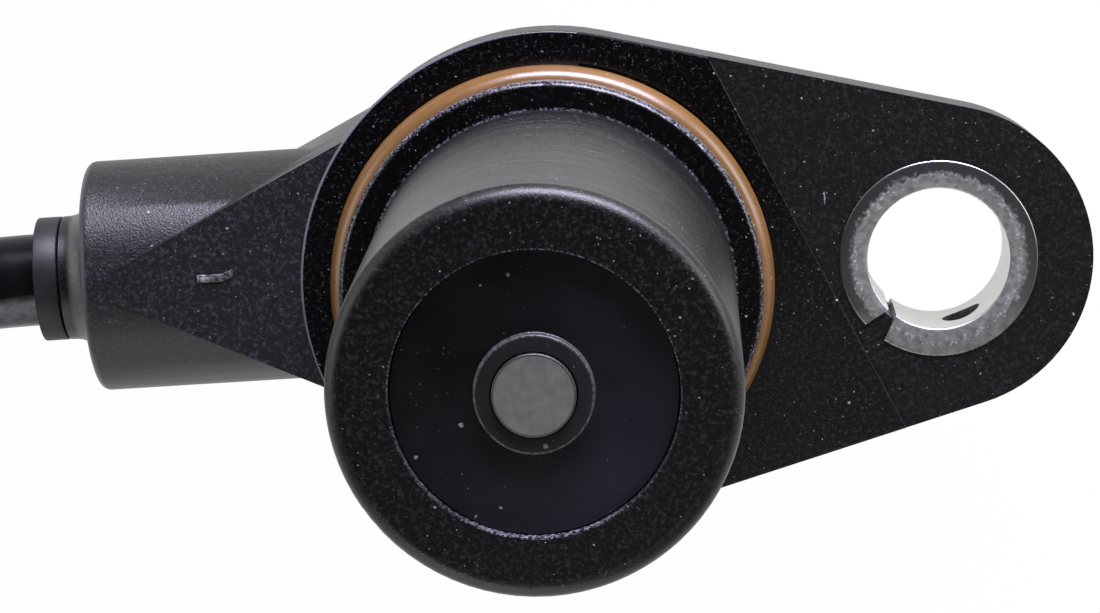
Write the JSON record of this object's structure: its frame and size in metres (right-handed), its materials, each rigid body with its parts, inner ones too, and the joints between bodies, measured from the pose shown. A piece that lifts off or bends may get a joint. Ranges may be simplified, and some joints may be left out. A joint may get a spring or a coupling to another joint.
{
  "type": "crankshaft position sensor",
  "caption": "Inductive crankshaft position sensor: round barrel with a pole pin in its tip, O-ring, flange with a steel bolt bushing, side neck and a lead with a sealed connector.",
  "frame": {"origin": "centre of the flange's seat face on the barrel's axis", "axes": "+Z along the barrel towards its tip, +X from the barrel's axis to the bolt hole, the lead leaves along -X"},
  "size_m": [0.1186, 0.0613, 0.0402],
  "materials": {
    "housing_plastic": "moulded black glass-filled nylon",
    "bobbin_plastic": "smooth moulded black",
    "seal_rubber": "satin brown orange",
    "bushing_steel": "sheared and rolled",
    "pole_iron": "ground",
    "magnet_alloy": "sintered",
    "winding_copper": "enamelled wire",
    "contact_metal": "tin plated",
    "core_brown": "wire insulation",
    "core_white": "wire insulation",
    "core_grey": "wire insulation",
    "cable_sheath": "smooth black sheath",
    "grommet_rubber": "moulded black rubber",
    "tie_nylon": "nylon strap",
    "connector_plastic": "moulded black",
    "lock_plastic": "moulded grey"
  },
  "bodies": {
    "root": {"housing": "housing_plastic", "o_ring": "seal_rubber", "bushing": "bushing_steel", "bobbin": "bobbin_plastic", "coil_winding": "winding_copper", "pole_pin": "pole_iron", "magnet": "magnet_alloy", "terminal_a": "contact_metal", "terminal_b": "contact_metal", "core_a": "core_brown", "core_b": "core_white", "cable_grommet": "grommet_rubber", "cable": "cable_sheath", "cable_coil": "cable_sheath", "cable_tail": "cable_sheath", "cable_tie": "tie_nylon", "connector_shell": "connector_plastic", "contact_1": "contact_metal", "contact_2": "contact_metal", "contact_3": "contact_metal", "wire_1": "core_brown", "wire_2": "core_grey", "wire_3": "core_white", "connector_boot": "grommet_rubber", "contact_lock": "lock_plastic"}
  },
  "joints": []
}
